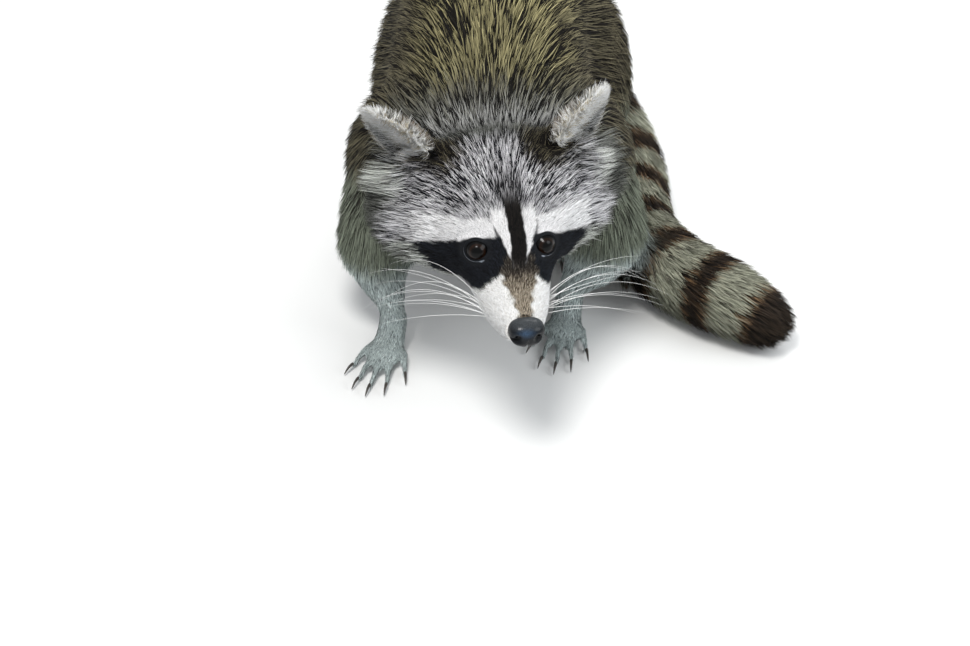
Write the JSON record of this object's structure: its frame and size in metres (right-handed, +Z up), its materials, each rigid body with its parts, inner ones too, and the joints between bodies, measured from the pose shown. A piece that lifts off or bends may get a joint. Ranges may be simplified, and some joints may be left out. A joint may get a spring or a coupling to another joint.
{
  "type": "raccoon figure",
  "caption": "Life-size still model of an adult raccoon, crouched with its head low and turned a little, its ringed tail laid on the floor beside it.",
  "frame": {"origin": "on the floor, at the middle of the footprint of the whole animal, tail included", "axes": "+Z up, -Y the way the animal faces, +X its left side"},
  "size_m": [0.306, 0.3832, 0.2455],
  "materials": {
    "coat": "long grizzled fur, black-brown with ochre tips on the back, pale grey-green cream on the flanks",
    "face": "short fur, black mask between white brow bands and a white muzzle, white-rimmed ears",
    "paw": "short pale blue-grey fur over bare dark soles",
    "tail": "bushy fur ringed cream-grey and near-black, with a dark tip",
    "eye": "wet and glossy, dark brown with a black pupil",
    "nose": "finely pebbled black skin, damp",
    "claw": "dark horn, smooth with a soft shine"
  },
  "bodies": {
    "root": {"head": "face", "lower_jaw": "face", "nose": "nose", "eye_right": "eye", "eye_left": "eye", "ear_right": "face", "ear_left": "face", "neck": "coat", "chest": "coat", "loin": "coat", "rump": "coat", "upper_arm_right": "coat", "forearm_right": "paw", "hand_right": "paw", "upper_arm_left": "coat", "forearm_left": "paw", "hand_left": "paw", "thigh_right": "coat", "shank_right": "coat", "hind_foot_right": "paw", "thigh_left": "coat", "shank_left": "coat", "hind_foot_left": "paw", "claw_hand_right_1": "claw", "claw_hand_right_2": "claw", "claw_hand_right_3": "claw", "claw_hand_right_4": "claw", "claw_hand_right_5": "claw", "claw_hand_left_1": "claw", "claw_hand_left_2": "claw", "claw_hand_left_3": "claw", "claw_hand_left_4": "claw", "claw_hand_left_5": "claw", "claw_foot_right_1": "claw", "claw_foot_right_2": "claw", "claw_foot_right_3": "claw", "claw_foot_right_4": "claw", "claw_foot_right_5": "claw", "claw_foot_left_1": "claw", "claw_foot_left_2": "claw", "claw_foot_left_3": "claw", "claw_foot_left_4": "claw", "claw_foot_left_5": "claw", "tail_1": "tail", "tail_2": "tail", "tail_3": "tail", "tail_4": "tail"}
  },
  "joints": []
}
